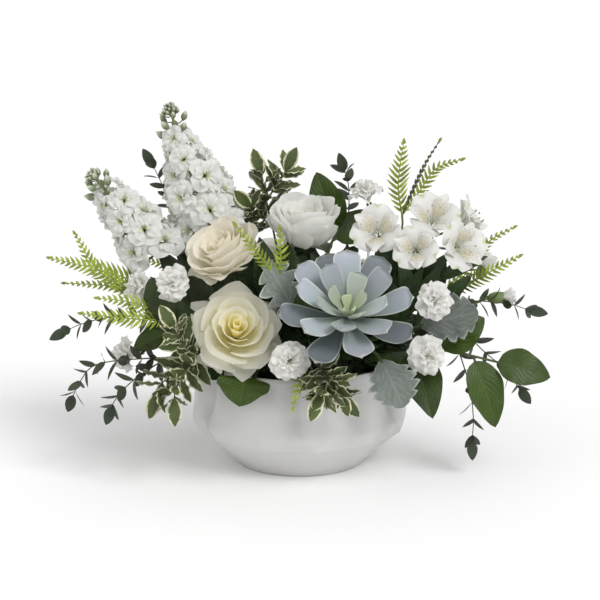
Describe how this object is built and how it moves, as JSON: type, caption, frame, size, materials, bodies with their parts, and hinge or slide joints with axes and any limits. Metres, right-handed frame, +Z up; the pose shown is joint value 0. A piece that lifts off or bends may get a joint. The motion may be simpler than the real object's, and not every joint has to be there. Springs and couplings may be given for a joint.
{
  "type": "floral table centerpiece",
  "caption": "Low pleated white bowl of floral foam holding roses, stock, alstroemeria, mini carnations, a succulent and mixed greenery.",
  "frame": {"origin": "middle of the bowl's flat foot, on the table", "axes": "+Z up; -Y towards the arrangement's front, where the large rose and the succulent look; +X to the viewer's right"},
  "size_m": [0.4564, 0.3235, 0.33],
  "materials": {
    "white_ceramic": "matt white with a soft sheen",
    "floral_foam": "fine open foam, wet",
    "rose_petals": "soft, creamy white with a warmer heart",
    "white_petals": "soft, thin, white",
    "succulent_leaf": "powdery blue-grey bloom",
    "glossy_leaf": "leathery, semi-gloss, veined",
    "felted_leaf": "silver-grey felt",
    "fern_leaf": "thin, yellow-green",
    "eucalyptus_leaf": "matt dark blue-green",
    "variegated_leaf": "olive green with cream edges",
    "green_stem": "matt green"
  },
  "bodies": {
    "root": {"bowl": "white_ceramic", "rose_front_bloom": "rose_petals", "rose_left_bloom": "rose_petals", "rose_top_bloom": "rose_petals", "rose_rear_bloom": "rose_petals", "succulent_rosette": "succulent_leaf", "alstroemeria_bloom_1": "white_petals", "alstroemeria_bloom_2": "white_petals", "alstroemeria_bloom_3": "white_petals", "alstroemeria_bloom_4": "white_petals", "alstroemeria_bloom_5": "white_petals", "carnation_bloom_left_1": "white_petals", "carnation_bloom_left_2": "white_petals", "carnation_bloom_left_3": "white_petals", "carnation_bloom_front_1": "white_petals", "carnation_bloom_right_1": "white_petals", "carnation_bloom_right_2": "white_petals", "carnation_bloom_top_1": "white_petals", "carnation_bloom_rear_1": "white_petals", "stock_tall_florets": "white_petals", "stock_low_florets": "white_petals", "stock_tall_stem": "green_stem", "stock_low_stem": "green_stem", "rose_front_stem": "green_stem", "rose_left_stem": "green_stem", "rose_top_stem": "green_stem", "rose_rear_stem": "green_stem", "succulent_stem": "green_stem", "alstroemeria_stem": "green_stem", "carnation_spray_left_stems": "green_stem", "carnation_spray_front_stems": "green_stem", "carnation_spray_right_stems": "green_stem", "carnation_spray_top_stems": "green_stem", "carnation_spray_rear_stems": "green_stem", "salal_front": "glossy_leaf", "salal_left": "glossy_leaf", "salal_right": "glossy_leaf", "salal_top": "glossy_leaf", "salal_rear": "glossy_leaf", "salal_rear_right": "glossy_leaf", "dusty_miller_centre": "felted_leaf", "dusty_miller_low": "felted_leaf", "dusty_miller_right": "felted_leaf", "fern_left": "fern_leaf", "fern_low_left": "fern_leaf", "fern_centre": "fern_leaf", "fern_right_top": "fern_leaf", "fern_right": "fern_leaf", "fern_front": "fern_leaf", "fern_rear": "fern_leaf", "eucalyptus_top_left": "eucalyptus_leaf", "eucalyptus_left": "eucalyptus_leaf", "eucalyptus_low_left": "eucalyptus_leaf", "eucalyptus_top": "eucalyptus_leaf", "eucalyptus_right": "eucalyptus_leaf", "eucalyptus_rear": "eucalyptus_leaf", "pittosporum_top": "variegated_leaf", "pittosporum_left": "variegated_leaf", "pittosporum_front": "variegated_leaf", "floral_foam": "floral_foam"}
  },
  "joints": []
}
